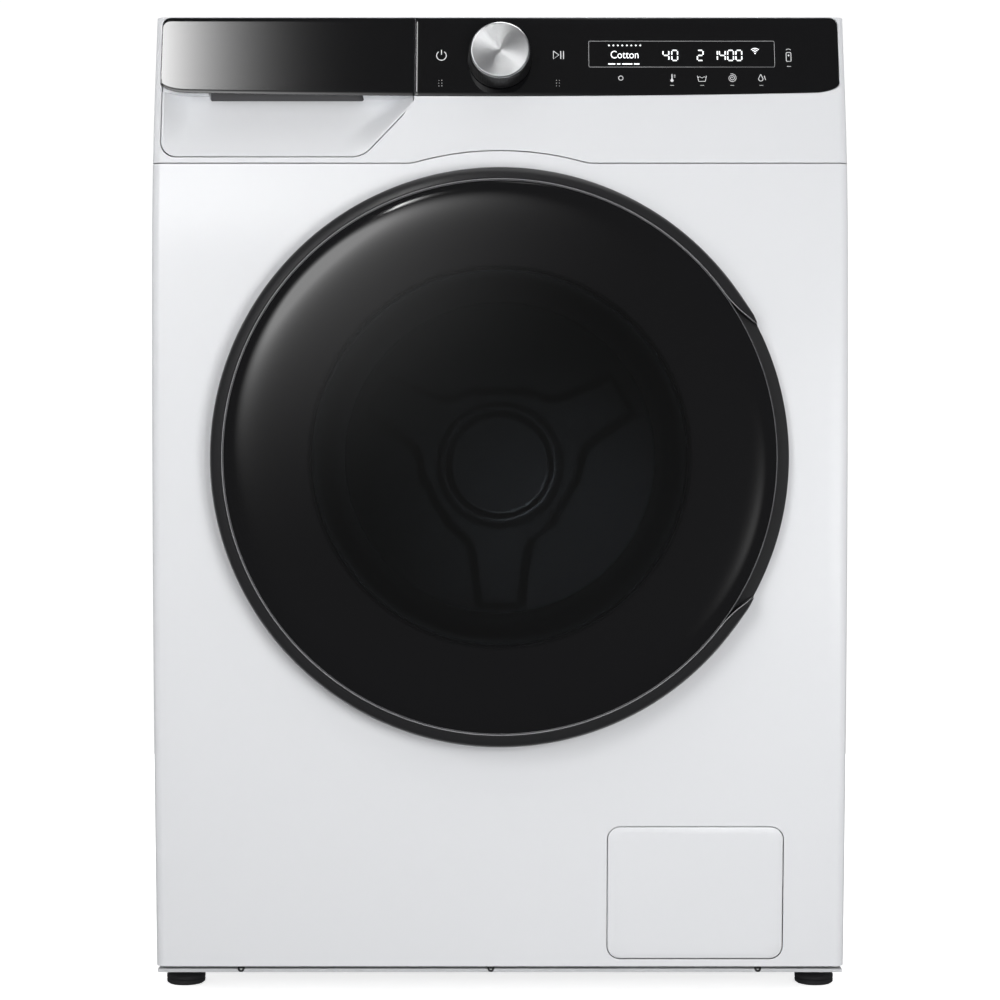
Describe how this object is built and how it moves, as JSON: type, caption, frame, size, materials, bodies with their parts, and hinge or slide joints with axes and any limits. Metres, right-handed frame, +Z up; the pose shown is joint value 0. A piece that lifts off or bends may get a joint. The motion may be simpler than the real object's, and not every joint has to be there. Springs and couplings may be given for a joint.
{
  "type": "front load washing machine",
  "caption": "Freestanding white washing machine with a round black glass door, a leaning black control strip with a dial, a detergent drawer and a lower service flap.",
  "frame": {"origin": "on the floor under the middle of the whole machine, the closed door included", "axes": "+Z up, -Y is the front with the door, +X is to the right as seen from the front"},
  "size_m": [0.6, 0.634, 0.85],
  "materials": {
    "white_paint": "gloss",
    "white_laminate": "gloss",
    "white_plastic": "gloss",
    "pale_grey_plastic": "matte",
    "black_gloss": "gloss",
    "black_satin": "satin",
    "dark_glass": "gloss",
    "clear_glass": "gloss",
    "spun_aluminium": "satin",
    "stainless": "polished",
    "galvanised": "satin",
    "cast_aluminium": "matte",
    "concrete": "matte",
    "grey_rubber": "matte",
    "black_rubber": "matte",
    "tub_plastic": "satin",
    "circuit_board": "satin",
    "blue_plastic": "satin"
  },
  "bodies": {
    "cabinet": {"side_panel_left": "white_paint", "side_panel_right": "white_paint", "rear_panel": "galvanised", "rear_cover": "galvanised", "top_cover": "white_laminate", "base_pan": "pale_grey_plastic", "front_panel": "white_paint", "control_fascia": "white_plastic", "control_glass": "black_gloss", "control_board": "circuit_board", "rotary_encoder": "galvanised", "dispenser_housing": "tub_plastic", "inlet_valve": "blue_plastic", "top_frame": "galvanised", "drain_pump": "pale_grey_plastic", "filter_surround": "white_plastic", "door_lock": "pale_grey_plastic", "hinge_bracket": "galvanised", "cable_gland": "black_rubber", "drain_outlet": "pale_grey_plastic", "spring_left": "galvanised", "spring_right": "galvanised", "damper_cylinder_left": "black_satin", "damper_cylinder_right": "black_satin"},
    "tub": {"tub_front": "tub_plastic", "tub_rear": "tub_plastic", "bearing_front": "stainless", "bearing_rear": "stainless", "counterweight_front": "concrete", "motor": "cast_aluminium", "drive_belt": "black_rubber", "door_gasket": "grey_rubber", "damper_rod_left": "stainless", "damper_rod_right": "stainless"},
    "drum": {"drum_shell": "stainless", "drum_back": "stainless", "lifter_1": "tub_plastic", "lifter_2": "tub_plastic", "lifter_3": "tub_plastic", "drum_spider": "cast_aluminium", "drum_pulley": "cast_aluminium"},
    "motor_shaft": {"motor_pulley": "stainless"},
    "door": {"door_ring": "black_gloss", "door_window": "dark_glass", "door_frame": "black_satin", "door_bowl": "clear_glass", "hinge_leaf": "galvanised", "hinge_pin": "stainless", "latch_hook": "stainless"},
    "drawer": {"drawer_front": "white_plastic", "drawer_lip": "black_gloss", "drawer_tray": "white_plastic"},
    "knob": {"knob_skirt": "black_satin", "knob_cap": "spun_aluminium"},
    "filter_cap": {"filter_cap": "blue_plastic"},
    "filter_cover": {"filter_cover": "white_paint"},
    "foot_fl": {"foot_front_left": "black_rubber"},
    "foot_fr": {"foot_front_right": "black_rubber"},
    "foot_rl": {"foot_rear_left": "black_rubber"},
    "foot_rr": {"foot_rear_right": "black_rubber"}
  },
  "joints": [
    {"name": "door_hinge", "type": "hinge", "parent": "cabinet", "child": "door", "pos_m": [-0.238, -0.295, 0.465], "axis": [0, 0, -1], "range_deg": [0, 116]},
    {"name": "drawer_slide", "type": "slide", "parent": "cabinet", "child": "drawer", "axis": [0, -1, 0], "range_m": [0, 0.25]},
    {"name": "knob_turn", "type": "hinge", "parent": "cabinet", "child": "knob", "pos_m": [0, -0.2604, 0.8116], "axis": [0, -0.9732, 0.23], "continuous": true},
    {"name": "tub_bounce", "type": "slide", "parent": "cabinet", "child": "tub", "axis": [0, 0, 1], "range_m": [-0.008, 0.008], "stiffness_N_per_m": 14000, "springref_m": 0.0225, "deforming": ["spring_left", "spring_right", "door_gasket"]},
    {"name": "drum_spin", "type": "hinge", "parent": "tub", "child": "drum", "pos_m": [0, 0, 0.465], "axis": [0, 1, 0], "continuous": true},
    {"name": "motor_spin", "type": "hinge", "parent": "tub", "child": "motor_shaft", "pos_m": [0, 0.2, 0.141], "axis": [0, 1, 0], "continuous": true},
    {"name": "filter_cover_hinge", "type": "hinge", "parent": "cabinet", "child": "filter_cover", "pos_m": [0.1695, -0.25512, 0.029], "axis": [1, 0, 0], "range_deg": [0, 90]},
    {"name": "filter_cap_turn", "type": "hinge", "parent": "cabinet", "child": "filter_cap", "pos_m": [0.1695, -0.2219, 0.081], "axis": [0, 1, 0], "range_deg": [0, 90]},
    {"name": "foot_fl_screw", "type": "slide", "parent": "cabinet", "child": "foot_fl", "axis": [0, 0, -1], "range_m": [0, 0.012]},
    {"name": "foot_fr_screw", "type": "slide", "parent": "cabinet", "child": "foot_fr", "axis": [0, 0, -1], "range_m": [0, 0.012]},
    {"name": "foot_rl_screw", "type": "slide", "parent": "cabinet", "child": "foot_rl", "axis": [0, 0, -1], "range_m": [0, 0.012]},
    {"name": "foot_rr_screw", "type": "slide", "parent": "cabinet", "child": "foot_rr", "axis": [0, 0, -1], "range_m": [0, 0.012]}
  ],
  "couplings": [
    {"joint": "motor_spin", "follows": "drum_spin", "ratio": 13.043}
  ]
}
